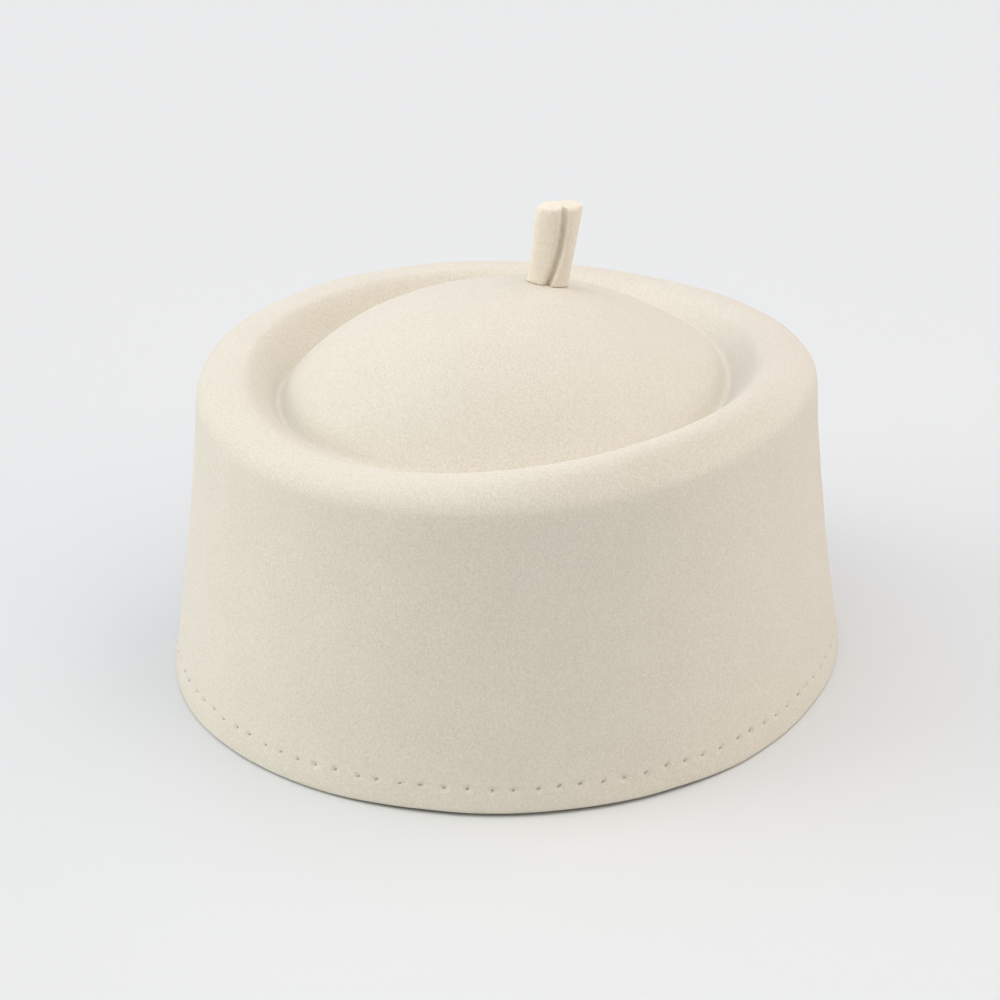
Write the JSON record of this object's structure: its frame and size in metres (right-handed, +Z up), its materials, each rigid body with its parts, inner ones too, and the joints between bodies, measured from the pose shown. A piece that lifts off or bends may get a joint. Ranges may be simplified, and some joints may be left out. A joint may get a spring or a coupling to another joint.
{
  "type": "felt pillbox prayer cap",
  "caption": "Cream felt pillbox prayer cap with a flared wall, a rolled rim round a raised dome, and a short folded felt stalk on top.",
  "frame": {"origin": "on the surface that the cap rests on, under the middle of its length and width", "axes": "+Y towards the back of the head, -Y towards the brow, +X towards the wearer's left, +Z up"},
  "size_m": [0.18, 0.193, 0.1289],
  "materials": {
    "cream_felt": "matte",
    "stalk_felt": "matte"
  },
  "bodies": {
    "root": {"felt_body": "cream_felt", "stalk": "stalk_felt"}
  },
  "joints": []
}
